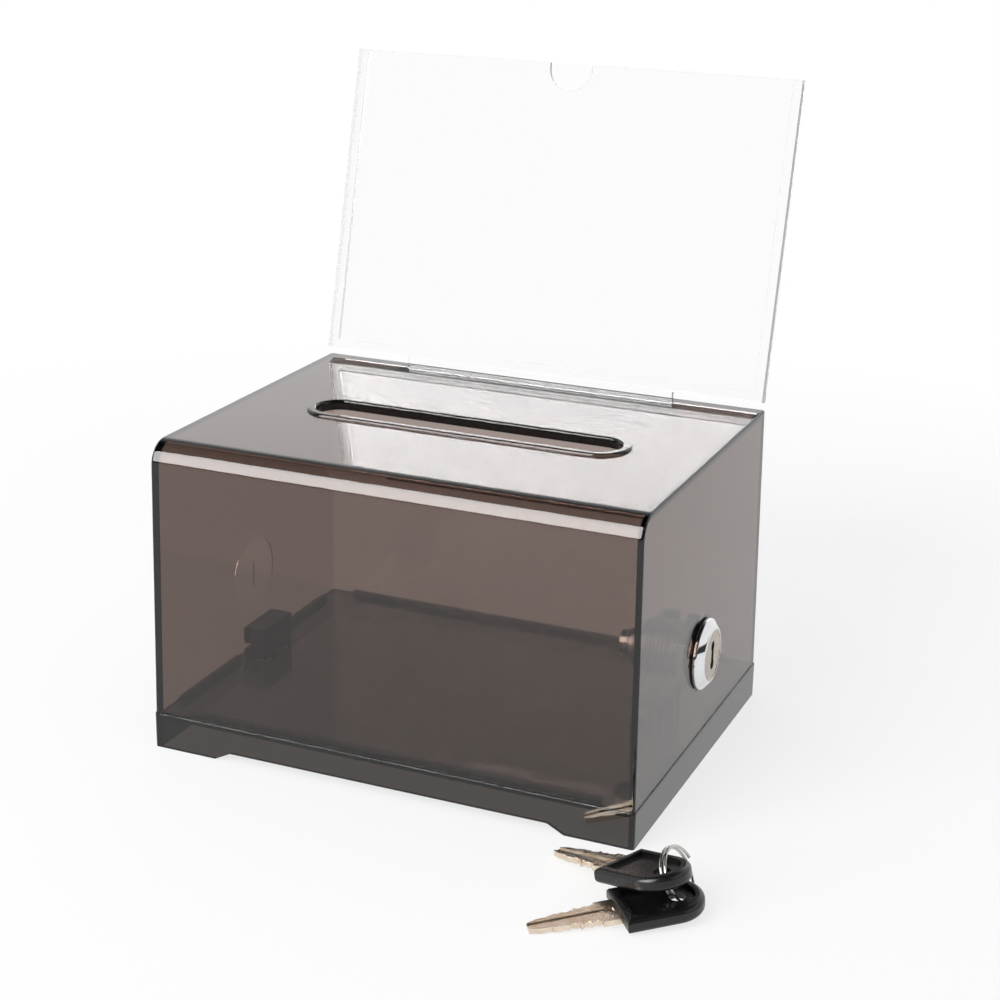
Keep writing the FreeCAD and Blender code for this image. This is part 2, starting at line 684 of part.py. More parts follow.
def build_wafers():
    """Five wafers with key windows, and the spring that lifts each one by its ear."""
    wafers = []
    springs = []
    for index in range(WAFER_COUNT):
        low = wafer_height_at(index)
        wafer = lock_body(f"wafer_{index}")
        block(wafer, f"wafer_plate_{index}", ("wafer_height", "wafer_width", "wafer_thick"),
              ("-wafer_height / 2", "-wafer_width / 2", low))
        block(wafer, f"wafer_ear_{index}", ("ear_height", "ear_reach + wafer_width / 4", "wafer_thick"),
              ("-ear_height", "wafer_width / 4", low))
        block(wafer, f"wafer_window_{index}",
              ("wafer_window_height", "wafer_window_width", f"wafer_thick + 2 * {OVERCUT}"),
              ("-wafer_window_height / 2", "-wafer_window_width / 2", f"{low} - {OVERCUT}"), cut=True)
        wafers.append(wafer)
        spring = lock_body(f"wafer_spring_{index}")
        rod(spring, f"spring_rod_{index}", "spring_dia / 2", "spring_length",
            ("0", "(wafer_width + ear_reach) / 2", f"{low} + wafer_thick / 2"), axis=Y_AXIS, angle=90)
        springs.append(spring)
    return [group("lock_wafers", wafers), group("wafer_springs", springs)]


def build_stop_washer():
    """Washer on the plug's square whose tab runs between the ends of the stop collar."""
    body = lock_body("stop_washer")
    low = f"({BARREL_END} - axial_play - stop_thick)"
    radius = "(barrel_flats / 2 - collar_wall - plug_clearance)"
    rod(body, "stop_disc", radius, "stop_thick", ("0", "0", low))
    block(body, "stop_tab", ("stop_tab_width", "barrel_flats / 2", "stop_thick"),
          ("-stop_tab_width / 2", "0", low))
    cut_square(body, low, "stop_thick")
    return body


def cut_square(body, low, thick):
    """Square hole that fits the inner end of the plug."""
    wide = "(square_size + 2 * square_clearance)"
    block(body, f"{body.Label}_square", (wide, wide, f"{thick} + 2 * {OVERCUT}"),
          (f"-{wide} / 2", f"-{wide} / 2", f"{low} - {OVERCUT}"), cut=True)


def build_cam():
    """Flat cam, at rest pointing to the rear, with a toe bent towards the wall."""
    body = lock_body("lock_cam")
    low = f"({CAM_FRONT} - cam_thick)"
    rod(body, "cam_boss", "cam_width / 2", "cam_thick", ("0", "0", low))
    block(body, "cam_arm", ("cam_tip_width", "cam_length", "cam_thick"), ("-cam_tip_width / 2", "0", low))
    block(body, "cam_toe",
          ("cam_tip_width", "toe_thick", "cam_thick + catch_gap + catch_slot_depth - toe_clearance"),
          ("-cam_tip_width / 2", "cam_length - toe_thick", low))
    cut_square(body, low, "cam_thick")
    return body


def build_cam_fasteners():
    """Spring washer and slotted screw that hold the cam on the plug."""
    back = f"({CAM_FRONT} - cam_thick)"
    washer = build_ring_piece("cam_spring_washer", "cam_washer_dia / 2",
                              "cam_screw_dia / 2 + screw_clearance", "cam_washer_thick",
                              f"({back} - cam_washer_thick)")
    body = lock_body("cam_screw")
    seat_z = f"({back} - cam_washer_thick)"
    rod(body, "cam_screw_head", "cam_screw_head_dia / 2", "cam_screw_head_height",
        ("0", "0", f"{seat_z} - cam_screw_head_height"))
    rod(body, "cam_screw_shank", "cam_screw_dia / 2",
        "cam_washer_thick + cam_thick + stop_thick + cam_screw_bite - screw_clearance", ("0", "0", seat_z))
    block(body, "cam_screw_drive", ("cam_screw_head_dia", "driver_slot_width", "driver_slot_depth"),
          ("-cam_screw_head_dia / 2", "-driver_slot_width / 2", f"{seat_z} - cam_screw_head_height"),
          cut=True)
    return [washer, body]


def sign_body(label):
    """Start a sign holder piece: local Z runs up the leaning holder from the top of the box."""
    return new_body(label, ("0", SIGN_Y, "total_height"), -X_AXIS, "sign_tilt")


def build_sign_holder():
    """Two clear panes, side strips between them, and a bottom strip with the tongue."""
    front = sign_body("sign_front_pane")
    block(front, "front_sheet", ("sign_width", "front_pane_thick", "sign_height"),
          ("-sign_width / 2", "-pocket_gap / 2 - front_pane_thick", "sign_rise"))
    crest = "(sign_rise + sign_height)"
    notch_foot = f"{crest} - notch_depth + notch_dia / 2"
    rod(front, "notch_round", "notch_dia / 2", f"front_pane_thick + 2 * {OVERCUT}",
        ("0", f"{OVERCUT} - pocket_gap / 2", notch_foot), cut=True, axis=X_AXIS, angle=90)
    block(front, "notch_mouth",
          ("notch_dia", f"front_pane_thick + 2 * {OVERCUT}", f"notch_depth - notch_dia / 2 + {OVERCUT}"),
          ("-notch_dia / 2", f"-pocket_gap / 2 - front_pane_thick - {OVERCUT}", notch_foot), cut=True)
    back = sign_body("sign_back_pane")
    block(back, "back_sheet", ("sign_width", "back_pane_thick", "sign_height"),
          ("-sign_width / 2", "pocket_gap / 2", "sign_rise"))
    pieces = [front, back]
    sides = (("sign_left_strip", "-sign_width / 2"), ("sign_right_strip", "sign_width / 2 - strip_width"))
    for label, x in sides:
        strip = sign_body(label)
        block(strip, f"{label}_bar", ("strip_width", "pocket_gap", "sign_height"),
              (x, "-pocket_gap / 2", "sign_rise"))
        pieces.append(strip)
    tongue = sign_body("sign_tongue_strip")
    inner = "(sign_width - 2 * strip_width)"
    block(tongue, "bottom_bar", (inner, "pocket_gap", "strip_width"),
          (f"-{inner} / 2", "-pocket_gap / 2", "sign_rise"))
    block(tongue, "tongue", ("tongue_width", "pocket_gap", "tongue_depth + sign_rise + strip_width / 2"),
          ("-tongue_width / 2", "-pocket_gap / 2", "-tongue_depth"))
    pieces.append(tongue)
    return pieces


def key_placement(name):
    """Stand a key on its tip, nearly flat: local X from the tip to the head, zero at the head's flat end."""
    tilt = math.radians(size(f"{name}_key_tilt"))
    height = size("blade_length") * math.sin(tilt) + size("blade_thick") / 2 * math.cos(tilt)
    place = FreeCAD.Vector(size(f"{name}_key_x"), size(f"{name}_key_y"), height)
    turn = FreeCAD.Rotation(Z_AXIS, size(f"{name}_key_turn"))
    lean = FreeCAD.Rotation(-Y_AXIS, size(f"{name}_key_tilt"))
    return FreeCAD.Placement(place, turn.multiply(lean))


def build_key_head(name):
    """Moulded D-shaped head: round edges, a sunk field on both faces, a ring hole and a seat for the tang."""
    body = new_body(f"{name}_key_head")
    half = "head_width / 2"
    round_x = f"(head_length - {half})"
    block(body, f"{name}_head_block", (round_x, "head_width", "head_thick"),
          ("0", f"-{half}", "-head_thick / 2"))
    rod(body, f"{name}_head_end", half, "head_thick", (round_x, "0", "-head_thick / 2"))
    level = size("head_thick") / 2
    round_edges(body, f"{name}_head_edges", "head_round",
                lambda ends: near(ends[0].z, ends[1].z) and near(abs(ends[0].z), level))
    for face, low in (("upper", "head_thick / 2 - head_recess"), ("lower", f"-head_thick / 2 - {OVERCUT}")):
        deep = f"head_recess + {OVERCUT}"
        block(body, f"{name}_{face}_field", (f"{round_x} - head_rim", "head_width - 2 * head_rim", deep),
              ("head_rim", f"head_rim - {half}", low), cut=True)
        rod(body, f"{name}_{face}_field_end", f"{half} - head_rim", deep, (round_x, "0", low), cut=True)
    rod(body, f"{name}_ring_hole", "ring_hole_dia / 2", "head_thick",
        ("ring_hole_place", "0", "-head_thick / 2"), cut=True)
    block(body, f"{name}_tang_seat", (f"tang_length + {OVERCUT}", "blade_width", "blade_thick"),
          (f"-{OVERCUT}", "-blade_width / 2", "-blade_thick / 2"), cut=True)
    body.Placement = key_placement(name)
    return body


def build_key_blade(name):
    """Flat key blade: tang and collar, steps that narrow towards the tip, bits on both edges, grooved faces."""
    body = new_body(f"{name}_key_blade")
    low = "-blade_thick / 2"
    block(body, f"{name}_tang", ("collar_length + tang_length", "blade_width", "blade_thick"),
          ("-collar_length", "-blade_width / 2", low))
    block(body, f"{name}_collar", ("collar_length", "collar_width", "blade_thick"),
          ("-collar_length", "-collar_width / 2", low))
    for step, start, end, width, depths in BLADE_STEPS:
        block(body, f"{name}_{step}_step", (f"{end} - {start}", width, "blade_thick"),
              (f"-{end}", f"-{width} / 2", low))
        for index, depth in enumerate(depths):
            for edge, sign in (("left", ""), ("right", "-")):
                rod(body, f"{name}_{edge}_{step}_bit_{index}", "bit_dia / 2", f"blade_thick + 2 * {OVERCUT}",
                    (f"-{start} - bit_first - {index} * bit_pitch",
                     f"{sign}({width} / 2 + bit_dia / 2 - {depth})", f"{low} - {OVERCUT}"), cut=True)
    tip = body.newObject("PartDesign::AdditiveWedge", f"{name}_tip")
    bind(tip, Xmin="-blade_end_width / 2", Xmax="blade_end_width / 2")
    bind(tip, X2min="-blade_tip_width / 2", X2max="blade_tip_width / 2")
    bind(tip, Ymin="0", Ymax="blade_tip_length", Zmin=low, Zmax="blade_thick / 2")
    bind(tip, Z2min=low, Z2max="blade_thick / 2")
    seat(tip, ("-(blade_length - blade_tip_length)", "0", "0"), Z_AXIS, 90)
    for face, floor in (("upper", "blade_thick / 2 - blade_groove_depth"), ("lower", f"{low} - {OVERCUT}")):
        block(body, f"{name}_{face}_groove",
              ("blade_length", "blade_groove_width", f"blade_groove_depth + {OVERCUT}"),
              (f"-blade_length - {OVERCUT}", "-blade_groove_width / 2", floor), cut=True)
    body.Placement = key_placement(name)
    return body


def build_key_ring():
    """Split ring through both ring holes: half turns of wire, each one leaning by half the pitch."""
    hole = FreeCAD.Vector(size("ring_hole_place"), 0, 0)
    low = key_placement("lower").multVec(hole)
    high = key_placement("upper").multVec(hole)
    chord = high - low
    along = FreeCAD.Vector(chord).normalize()
    outward = (Y_AXIS - along * along.dot(Y_AXIS)).normalize()
    radius = size("ring_radius")
    normal = along.cross(outward)
    reach = math.sqrt(radius ** 2 - chord.Length ** 2 / 4) - size("ring_tuck")
    centre = (low + high) * 0.5 + outward * reach
    centre -= along * size("ring_slide") + normal * size("ring_shift")
    pitch = size("ring_pitch")
    arcs = []
    for index in range(RING_HALF_TURNS):
        side = 1 if index % 2 == 0 else -1
        rise = normal * (pitch / 2)
        level = centre + rise * (index - RING_HALF_TURNS / 2)
        start = level + outward * (radius * side)
        middle = level + rise * 0.5 + along * (radius * side)
        end = level + rise - outward * (radius * side)
        arcs.append(Part.Arc(start, middle, end).toShape())
    path = Part.Wire(arcs)
    start = arcs[0].valueAt(arcs[0].FirstParameter)
    tangent = arcs[0].tangentAt(arcs[0].FirstParameter)
    section = Part.Wire(Part.makeCircle(size("ring_wire") / 2, start, tangent))
    shell = Part.BRepOffsetAPI.MakePipeShell(path)
    shell.add(section)
    shell.build()
    shell.makeSolid()
    item = doc.addObject("Part::Feature", "key_ring")
    item.Label = "key_ring"
    item.Shape = shell.shape()
    item.Placement = FreeCAD.Placement()
    return item


def build_all():
    """Build every sub-part, in the order in which it is put together."""
    parts = [build_base(), build_hook_block(), build_catch_block(), build_block_screws(), build_cover()]
    parts.append(build_lock_housing())
    parts.extend(build_lock_rings())
    parts.append(build_plug())
    parts.extend(build_wafers())
    parts.extend([build_stop_washer(), build_cam()])
    parts.extend(build_cam_fasteners())
    parts.extend(build_sign_holder())
    for name in ("lower", "upper"):
        parts.extend([build_key_head(name), build_key_blade(name)])
    parts.append(build_key_ring())
    return parts


def check_and_write(parts):
    """Stop at any feature that failed, then write each sub-part to its own file."""
    doc.recompute()
    failed = [f"{item.Name} ({item.getStatusString()})" for item in doc.Objects
              if "Invalid" in item.State or "Error" in item.State]
    if failed:
        raise RuntimeError(f"features failed: {failed}")
    for item in parts:
        if item.Shape.isNull() or not item.Shape.isValid():
            raise RuntimeError(f"bad shape: {item.Label}")
    os.makedirs("parts", exist_ok=True)
    for item in parts:
        item.Shape.exportStep(f"parts/{item.Label}.step")
        print(f"{item.Label}: {len(item.Shape.Solids)} solids, {item.Shape.Volume:.1f} mm3")


fill_sheet()
check_and_write(build_all())
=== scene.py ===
"""Looks of a smoked donation box with a sign holder, a cam lock and its keys.

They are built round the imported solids. Everything is in metres, in the frame of the solids: origin on the
table under the middle of the base, +X towards the lock, -Y towards the front, +Z up.
"""

import logging
import math
from dataclasses import dataclass
from enum import Enum
from typing import Any

import bmesh
import bpy
from mathutils import Matrix, Vector

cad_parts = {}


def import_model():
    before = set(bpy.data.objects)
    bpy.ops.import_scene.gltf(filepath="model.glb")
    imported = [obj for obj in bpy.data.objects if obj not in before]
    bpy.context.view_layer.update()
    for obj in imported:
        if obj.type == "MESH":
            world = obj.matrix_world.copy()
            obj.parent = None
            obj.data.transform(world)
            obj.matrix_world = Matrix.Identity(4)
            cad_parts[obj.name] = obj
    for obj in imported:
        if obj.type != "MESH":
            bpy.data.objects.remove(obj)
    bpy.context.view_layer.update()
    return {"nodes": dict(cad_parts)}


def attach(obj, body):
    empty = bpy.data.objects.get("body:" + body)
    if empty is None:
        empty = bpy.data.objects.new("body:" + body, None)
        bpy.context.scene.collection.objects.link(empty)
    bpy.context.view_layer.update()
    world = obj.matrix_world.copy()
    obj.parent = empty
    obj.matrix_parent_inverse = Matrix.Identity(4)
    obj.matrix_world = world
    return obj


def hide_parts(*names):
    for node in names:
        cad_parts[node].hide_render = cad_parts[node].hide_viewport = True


MM = 0.001
CUT_REACH = 1e-8
SAME_POINT = 1e-7
WELD_REACH = 1e-6
SOFT_STEPS = 2
FLAT_ANGLE = math.radians(0.5)
SHARP_ANGLE = math.radians(35.0)
FULL_TURN = 360.0
WHITE = (1.0, 1.0, 1.0, 1.0)
# Numbers of the colour sockets of Blender's mix node.
MIX_FIRST, MIX_SECOND, MIX_RESULT = 6, 7, 2
SIGN_HOLDER = "sign_holder_sheet"
log = logging.getLogger("donation_box")


class Body(str, Enum):
    """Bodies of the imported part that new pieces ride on."""

    COVER = "cover"
    LOCK_CORE = "lock_core"
    SIGN_HOLDER = "sign_holder"


class Grain(Enum):
    """What the making of a plastic or metal leaves on its surface."""

    MOULDED = "pebble of a moulding tool"
    SKIN = "fine skin of a pressed, cast or plated piece"
    BRUSHED = "straight milling lines"
    TURNED = "lathe lines"


def linear(colour: str) -> tuple[float, float, float, float]:
    """Turn an sRGB hex colour into linear light.

    Args:
        colour: six hex digits, with or without a leading hash.

    Returns:
        Red, green, blue and an alpha of one.
    """
    digits = colour.lstrip("#")
    shares = [int(digits[place:place + 2], 16) / 255 for place in (0, 2, 4)]
    curve = [share / 12.92 if share <= 0.04045 else ((share + 0.055) / 1.055) ** 2.4 for share in shares]
    return (curve[0], curve[1], curve[2], 1.0)


def add_node(tree: bpy.types.NodeTree, kind: str, inputs: dict[Any, Any] | None = None,
             **settings: Any) -> bpy.types.Node:
    """Add a node, with its settings and what feeds its inputs.

    Args:
        tree: node tree that gets the node.
        kind: Blender's name of the node type.
        inputs: values or sockets by input name or number.
        settings: properties of the node.

    Returns:
        The new node.
    """
    node = tree.nodes.new(kind)
    for name, value in settings.items():
        setattr(node, name, value)
    for name, value in (inputs or {}).items():
        if isinstance(value, bpy.types.NodeSocket):
            tree.links.new(value, node.inputs[name])
        else:
            node.inputs[name].default_value = value
    return node


def per_metre(size_mm: float) -> float:
    """Give the texture scale at which one feature is that many millimetres wide."""
    return 1.0 / (size_mm * MM)


def new_material(name: str) -> tuple[bpy.types.Material, bpy.types.NodeTree, bpy.types.Node]:
    """Start an empty node material.

    Args:
        name: name of the material.

    Returns:
        The material, its node tree and its output node.
    """
    material = bpy.data.materials.new(name)
    material.use_nodes = True
    material.node_tree.nodes.clear()
    return material, material.node_tree, add_node(material.node_tree, "ShaderNodeOutputMaterial")


@dataclass(frozen=True)
class SeeThroughPlastic:
    """Polished see-through moulding or sheet.

    It has a sharp gloss, its colour comes from its depth, and wiping has left a faint haze. With a face_way,
    the cut edges square to the sheet's faces are frosted and carry a painted glow, an emission that stands in
    for the light that the sheet pipes to them.
    """

    name: str
    ior: float
    roughness: float
    haze: float
    absorb: tuple[float, float, float]
    density: float
    swirl_mm: float = 6.0
    swirl_range: tuple[float, float] = (0.35, 0.75)
    ripple_mm: float = 25.0
    ripple_height_mm: float = 0.0
    face_way: tuple[float, float, float] | None = None
    edge_roughness: float = 0.25
    edge_clear: float = 0.8
    # Strength of the painted glow (emission) on the cut edges.
    painted_edge_glow: float = 0.07
    edge_range: tuple[float, float] = (0.2, 0.8)

    def make(self) -> bpy.types.Material:
        """Build the material.

        Returns:
            The finished material.
        """
        material, tree, output = new_material(self.name)
        where = add_node(tree, "ShaderNodeTexCoord")
        place = where.outputs["Object"]
        swirl = add_node(tree, "ShaderNodeTexNoise", {"Vector": place, "Scale": per_metre(self.swirl_mm),
                                                      "Detail": 6.0, "Roughness": 0.7})
        gloss = add_node(tree, "ShaderNodeMapRange", {
            "Value": swirl.outputs["Fac"], "From Min": self.swirl_range[0], "From Max": self.swirl_range[1],
            "To Min": self.roughness, "To Max": self.roughness + self.haze})
        ripple = add_node(tree, "ShaderNodeTexNoise", {"Vector": place, "Scale": per_metre(self.ripple_mm),
                                                       "Detail": 1.0})
        bump = add_node(tree, "ShaderNodeBump", {"Height": ripple.outputs["Fac"], "Strength": 1.0,
                                                 "Distance": self.ripple_height_mm * MM})
        shader = add_node(tree, "ShaderNodeBsdfPrincipled", {
            "Base Color": WHITE, "Roughness": gloss.outputs["Result"], "IOR": self.ior,
            "Transmission Weight": 1.0, "Emission Color": WHITE, "Normal": bump.outputs["Normal"]})
        if self.face_way:
            flat = add_node(tree, "ShaderNodeVectorMath", {0: where.outputs["Normal"], 1: self.face_way},
                            operation="DOT_PRODUCT")
            square = add_node(tree, "ShaderNodeMath", {0: flat.outputs["Value"]}, operation="ABSOLUTE")
            low, high = self.edge_range
            # Frost the cut edges, and paint a glow on them by emission in place of the light that the sheet
            # pipes to them.
            for socket, at_edge, on_face in (("Roughness", self.edge_roughness, gloss.outputs["Result"]),
                                             ("Transmission Weight", self.edge_clear, 1.0),
                                             ("Emission Strength", self.painted_edge_glow, 0.0)):
                frost_and_painted_glow = add_node(tree, "ShaderNodeMapRange", {
                    "Value": square.outputs[0], "From Min": low, "From Max": high, "To Min": at_edge,
                    "To Max": on_face})
                tree.links.new(frost_and_painted_glow.outputs["Result"], shader.inputs[socket])
        depth = add_node(tree, "ShaderNodeVolumeAbsorption", {"Color": (*self.absorb, 1.0),
                                                              "Density": self.density})
        tree.links.new(shader.outputs["BSDF"], output.inputs["Surface"])
        tree.links.new(depth.outputs["Volume"], output.inputs["Volume"])
        return material


@dataclass(frozen=True)
class SolidFinish:
    """Opaque plastic, rubber or metal with the texture that its making leaves."""

    name: str
    colour: str
    worn_colour: str
    metallic: float
    roughness: float
    roughness_spread: float
    grain: Grain
    grain_mm: float
    grain_height_mm: float
    patch_mm: float = 4.0
    stretch: tuple[float, float, float] = (1.0, 1.0, 1.0)
    turn: float = 0.0
    ior: float = 1.5
    patch_range: tuple[float, float] = (0.4, 0.7)
    grain_range: tuple[float, float] = (0.2, 0.8)

    def grain_height(self, tree: bpy.types.NodeTree, place: bpy.types.NodeSocket) -> bpy.types.NodeSocket:
        """Give the height of the surface's texture.

        Args:
            tree: the material's node tree.
            place: socket with the point on the piece.

        Returns:
            Socket with a height from zero to one.
        """
        scale = per_metre(self.grain_mm)
        if self.grain is Grain.MOULDED:
            return add_node(tree, "ShaderNodeTexVoronoi", {"Vector": place, "Scale": scale},
                            feature="SMOOTH_F1").outputs["Distance"]
        if self.grain is Grain.SKIN:
            return add_node(tree, "ShaderNodeTexNoise", {"Vector": place, "Scale": scale, "Detail": 5.0,
                                                         "Roughness": 0.65}).outputs["Fac"]
        lines = add_node(tree, "ShaderNodeMapping", {"Vector": place, "Scale": self.stretch,
                                                     "Rotation": (0.0, 0.0, math.radians(self.turn))},
                         vector_type="TEXTURE")
        return add_node(tree, "ShaderNodeTexNoise", {"Vector": lines.outputs["Vector"], "Scale": scale,
                                                     "Detail": 3.0}).outputs["Fac"]

    def make(self) -> bpy.types.Material:
        """Build the material.

        Returns:
            The finished material.
        """
        material, tree, output = new_material(self.name)
        place = add_node(tree, "ShaderNodeTexCoord").outputs["Object"]
        patch = add_node(tree, "ShaderNodeTexNoise", {"Vector": place, "Scale": per_metre(self.patch_mm),
                                                      "Detail": 5.0, "Roughness": 0.6}).outputs["Fac"]
        share = add_node(tree, "ShaderNodeMapRange", {
            "Value": patch, "From Min": self.patch_range[0], "From Max": self.patch_range[1]})
        tint = add_node(tree, "ShaderNodeMix", {
            "Factor": share.outputs["Result"], MIX_FIRST: linear(self.colour),
            MIX_SECOND: linear(self.worn_colour)}, data_type="RGBA")
        height = self.grain_height(tree, place)
        gloss = add_node(tree, "ShaderNodeMapRange", {
            "Value": height, "From Min": self.grain_range[0], "From Max": self.grain_range[1],
            "To Min": self.roughness - self.roughness_spread,
            "To Max": self.roughness + self.roughness_spread})
        bump = add_node(tree, "ShaderNodeBump", {"Height": height, "Strength": 1.0,
                                                 "Distance": self.grain_height_mm * MM})
        shader = add_node(tree, "ShaderNodeBsdfPrincipled", {
            "Base Color": tint.outputs[MIX_RESULT], "Metallic": self.metallic,
            "Roughness": gloss.outputs["Result"], "IOR": self.ior, "Normal": bump.outputs["Normal"]})
        tree.links.new(shader.outputs["BSDF"], output.inputs["Surface"])
        return material


# Smoked polystyrene: light loses more blue than red in it, so thick parts look brown and edges nearly
# black.
SMOKED = SeeThroughPlastic("smoked_polystyrene_cover", ior=1.55, roughness=0.006, haze=0.02,
                           absorb=(0.328, 0.195, 0.133), density=625.0, ripple_height_mm=0.0005)
SMOKED_BASE = SeeThroughPlastic("smoked_polystyrene_base", ior=1.55, roughness=0.008, haze=0.03,
                                absorb=(0.235, 0.18, 0.14), density=1600.0, ripple_height_mm=0.0005)
# Clear acrylic sheet: almost no colour, with frosted cut edges that carry a painted glow.
ACRYLIC = SeeThroughPlastic("clear_acrylic_sheet", ior=1.49, roughness=0.004, haze=0.012,
                            absorb=(0.75, 0.755, 0.755), density=22.0, ripple_mm=60.0,
                            face_way=(0.0, -0.9697, 0.2445))
# ABS moulded in a spark-eroded tool: a fine pebble that breaks up its highlights.
BLACK_BLOCK = SolidFinish("black_abs_block", "1b1c20", "24262b", metallic=0.0, roughness=0.42,
                          roughness_spread=0.08, grain=Grain.MOULDED, grain_mm=0.35, grain_height_mm=0.012)
KEY_HEAD = SolidFinish("black_abs_key_head", "0b0b0c", "121213", metallic=0.0, roughness=0.3,
                       roughness_spread=0.05, grain=Grain.MOULDED, grain_mm=0.3, grain_height_mm=0.006)
# Moulded rubber: dull black, with a dusty skin.
RUBBER = SolidFinish("black_rubber_gasket", "101010", "1a1a19", metallic=0.0, roughness=0.75,
                     roughness_spread=0.08, grain=Grain.SKIN, grain_mm=0.3, grain_height_mm=0.01)
# Zinc plate over stamped or turned steel: grey, slightly cloudy.
ZINC = SolidFinish("zinc_plated_steel", "b4b5b2", "9c9d9b", metallic=1.0, roughness=0.3,
                   roughness_spread=0.08, grain=Grain.SKIN, grain_mm=0.8, grain_height_mm=0.006)
# Stamped steel, plated in a barrel: the sheet's grain shows through.
CAM = SolidFinish("stamped_cam_steel", "a9aaa8", "8f908e", metallic=1.0, roughness=0.34,
                  roughness_spread=0.08, grain=Grain.SKIN, grain_mm=1.2, grain_height_mm=0.01)
# Drawn spring steel: darker and bluer than the plated pieces.
SPRING = SolidFinish("spring_steel_wire", "9a9ba0", "85868b", metallic=1.0, roughness=0.28,
                     roughness_spread=0.06, grain=Grain.SKIN, grain_mm=0.4, grain_height_mm=0.003)
# Bare zinc die casting: dull blue grey with a fine casting skin.
DIE_CAST = SolidFinish("zinc_die_casting", "85868a", "727377", metallic=1.0, roughness=0.42,
                       roughness_spread=0.08, grain=Grain.SKIN, grain_mm=0.5, grain_height_mm=0.006)
# Chrome plate over a polished die casting: a near mirror with the faintest orange peel.
CHROME = SolidFinish("polished_chrome_plate", "e3e4e6", "d9dadd", metallic=1.0, roughness=0.06,
                     roughness_spread=0.02, grain=Grain.SKIN, grain_mm=2.5, grain_height_mm=0.001)
# Bright nickel on drawn wire: a softer, warmer mirror, faintly clouded.
RING_WIRE = SolidFinish("bright_nickel_wire", "c9c8c4", "b1afa9", metallic=1.0, roughness=0.16,
                        roughness_spread=0.05, grain=Grain.SKIN, grain_mm=0.5, grain_height_mm=0.002)
# Satin nickel on turned brass: warm grey with fine lathe lines round the plug.
NICKEL = SolidFinish("satin_nickel_plug", "b7aea3", "a2988c", metallic=1.0, roughness=0.28,
                     roughness_spread=0.07, grain=Grain.TURNED, grain_mm=0.25, grain_height_mm=0.002,
                     stretch=(1.0, 6.0, 6.0))
# Stamped brass: yellow, with a fine pressed grain.
BRASS = SolidFinish("stamped_wafer_brass", "c8a860", "ac8c4a", metallic=1.0, roughness=0.3,
                    roughness_spread=0.08, grain=Grain.SKIN, grain_mm=0.6, grain_height_mm=0.004)
# Nickel silver key blanks: milled along their length, worn yellowish; the marks turn with each key.
LOWER_BLADE = SolidFinish("nickel_silver_lower_blade", "e9dccb", "d3bfa7", metallic=1.0, roughness=0.2,
                          roughness_spread=0.05, grain=Grain.BRUSHED, grain_mm=0.4, grain_height_mm=0.0005,
                          patch_mm=5.0, stretch=(14.0, 1.0, 1.0), turn=38.6)
UPPER_BLADE = SolidFinish("nickel_silver_upper_blade", "e9dccb", "d3bfa7", metallic=1.0, roughness=0.2,
                          roughness_spread=0.05, grain=Grain.BRUSHED, grain_mm=0.4, grain_height_mm=0.0005,
                          patch_mm=5.0, stretch=(14.0, 1.0, 1.0), turn=-25.0)


def dress(node: bpy.types.Object, material: bpy.types.Material) -> None:
    """Give a piece one material.

    Args:
        node: piece to dress.
        material: its new finish.
    """
    node.data.materials.clear()
    node.data.materials.append(material)
    log.info("%s: %s", node.name, material.name)


def soften(node: bpy.types.Object, width_mm: float) -> None:
    """Round the hard edges of an opaque piece by a modifier, so that they catch the light.

    Args:
        node: piece whose edges are rounded.
        width_mm: width of the rounding.
    """
    weld = node.modifiers.new("weld", "WELD")
    weld.merge_threshold = WELD_REACH
    flat = node.modifiers.new("flat_faces", "DECIMATE")
    flat.decimate_type = "DISSOLVE"
    flat.angle_limit = FLAT_ANGLE
    edge = node.modifiers.new("soft_edges", "BEVEL")
    edge.width = width_mm * MM
    edge.segments = SOFT_STEPS
    edge.limit_method = "ANGLE"
    edge.angle_limit = SHARP_ANGLE
    edge.use_clamp_overlap = True
    node.modifiers.new("even_normals", "WEIGHTED_NORMAL").keep_sharp = False


def add_piece(shape: bmesh.types.BMesh, name: str, material: bpy.types.Material, body: Body, slot: str,
              *stands_for: str) -> bpy.types.Object:
    """Turn a finished bmesh into a piece of the object.

    Args:
        shape: the piece's mesh, in place; it is freed.
        name: name of the piece.
        material: its finish.
        body: body that it rides on.
        slot: the record's material slot; not used.
        stands_for: nodes of the solids that it replaces.

    Returns:
        The new object.
    """
    bmesh.ops.remove_doubles(shape, verts=shape.verts, dist=SAME_POINT)
    bmesh.ops.recalc_face_normals(shape, faces=shape.faces)
    for face in shape.faces:
        face.smooth = True
    for edge in shape.edges:
        edge.smooth = edge.calc_face_angle(0.0) < SHARP_ANGLE
    mesh = bpy.data.meshes.new(name)
    shape.to_mesh(mesh)
    shape.free()
    piece = bpy.data.objects.new(name, mesh)
    bpy.context.scene.collection.objects.link(piece)
    dress(piece, material)
    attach(piece, body.value)
    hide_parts(*stands_for)
    return piece


